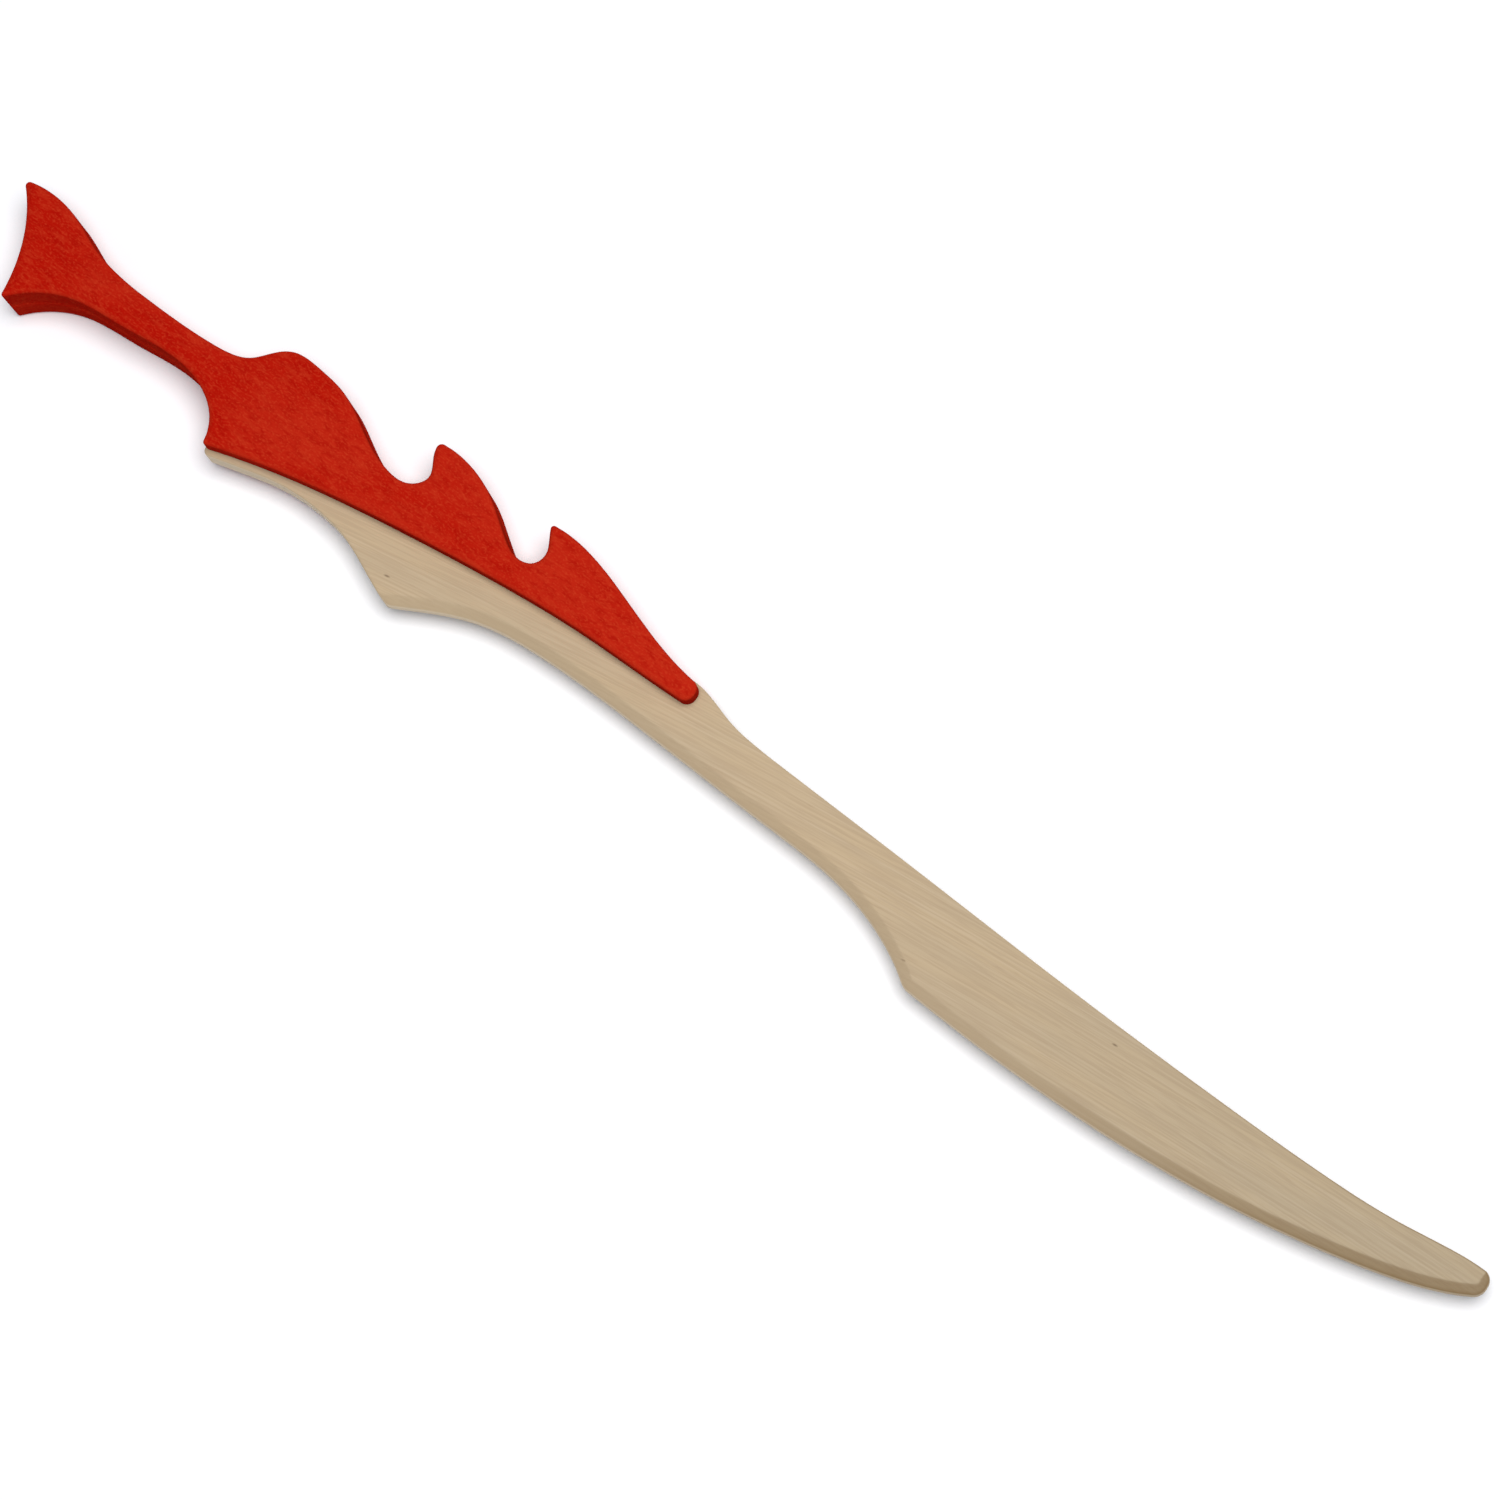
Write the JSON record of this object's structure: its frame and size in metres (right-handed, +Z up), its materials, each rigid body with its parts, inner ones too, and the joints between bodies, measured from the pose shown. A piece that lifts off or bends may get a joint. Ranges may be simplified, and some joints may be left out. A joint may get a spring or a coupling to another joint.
{
  "type": "wooden toy sabre",
  "caption": "Curved wooden toy sabre: a bevelled plank blade with its tang glued and pinned between flame-shaped stained handle halves.",
  "frame": {"origin": "middle of the base of the sabre's bounding box, as it lies on the back handle half", "axes": "+X from the pommel to the blade's tip, +Y towards the spine and the flame points, +Z up through the thickness"},
  "size_m": [0.6802, 0.0604, 0.026],
  "materials": {
    "natural_wood": "fine-sanded pale hardwood, matt, unvarnished",
    "red_stained_wood": "red water-stain on sanded hardwood, matt, with fine lighter fibres",
    "dowel_wood": "plain turned beech, unfinished"
  },
  "bodies": {
    "root": {"blade": "natural_wood", "front_scale": "red_stained_wood", "back_scale": "red_stained_wood", "dowel_pommel": "dowel_wood", "dowel_guard": "dowel_wood", "dowel_flame": "dowel_wood", "dowel_nose": "dowel_wood"}
  },
  "joints": []
}
